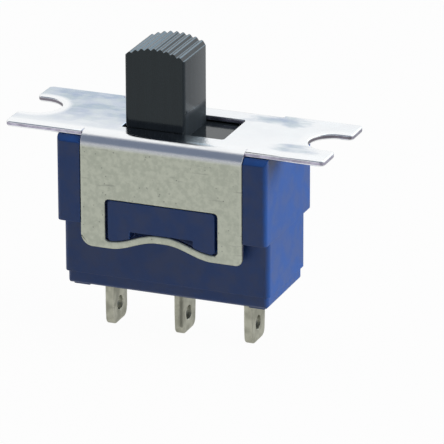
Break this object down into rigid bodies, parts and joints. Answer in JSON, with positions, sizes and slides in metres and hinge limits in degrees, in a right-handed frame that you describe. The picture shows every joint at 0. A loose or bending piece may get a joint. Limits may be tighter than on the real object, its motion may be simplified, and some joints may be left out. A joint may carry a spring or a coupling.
{
  "type": "slide switch",
  "caption": "Miniature panel-mount slide switch with a ridged sliding knob, a folded metal frame with notched ears and a single row of solder terminals.",
  "frame": {"origin": "centre of the mounting plate's top face, in the plane that meets the back of the panel", "axes": "+X along the switch, the way the knob travels from its rest position; +Z out through the panel, along the knob; +Y completes the right-handed frame"},
  "size_m": [0.0212, 0.0078, 0.0191],
  "materials": {
    "frame_metal": "dull tinned sheet steel, brighter on top",
    "case_moulding": "dark blue thermoset moulding, satin",
    "knob_moulding": "glossy black moulding",
    "spring_wire": "bright spring wire",
    "plunger_metal": "polished",
    "rocker_metal": "silver-plated, slightly yellow",
    "contact_silver": "silver contact rivets",
    "terminal_metal": "tin-plated, dull grey"
  },
  "bodies": {
    "housing": {"frame": "frame_metal", "case": "case_moulding", "terminal_left": "terminal_metal", "terminal_common": "terminal_metal", "terminal_right": "terminal_metal", "fixed_contact_left": "contact_silver", "fixed_contact_right": "contact_silver"},
    "slider": {"slider": "knob_moulding", "spring": "spring_wire"},
    "plunger": {"plunger": "plunger_metal"},
    "rocker": {"rocker": "rocker_metal", "rocker_contact_left": "contact_silver", "rocker_contact_right": "contact_silver"}
  },
  "joints": [
    {"name": "slider_slide", "type": "slide", "parent": "housing", "child": "slider", "axis": [1, 0, 0], "range_m": [0, 0.0024]},
    {"name": "plunger_travel", "type": "slide", "parent": "slider", "child": "plunger", "axis": [0, 0, 1], "range_m": [0, 0.0005], "stiffness_N_per_m": 1760, "springref_m": -0.0004, "deforming": ["spring"]},
    {"name": "rocker_tilt", "type": "hinge", "parent": "housing", "child": "rocker", "pos_m": [0, 0, -0.00627], "axis": [0, 1, 0], "range_deg": [0, 16]}
  ],
  "couplings": [
    {"joint": "rocker_tilt", "follows": "slider_slide", "rad_per_m": 116.36}
  ]
}
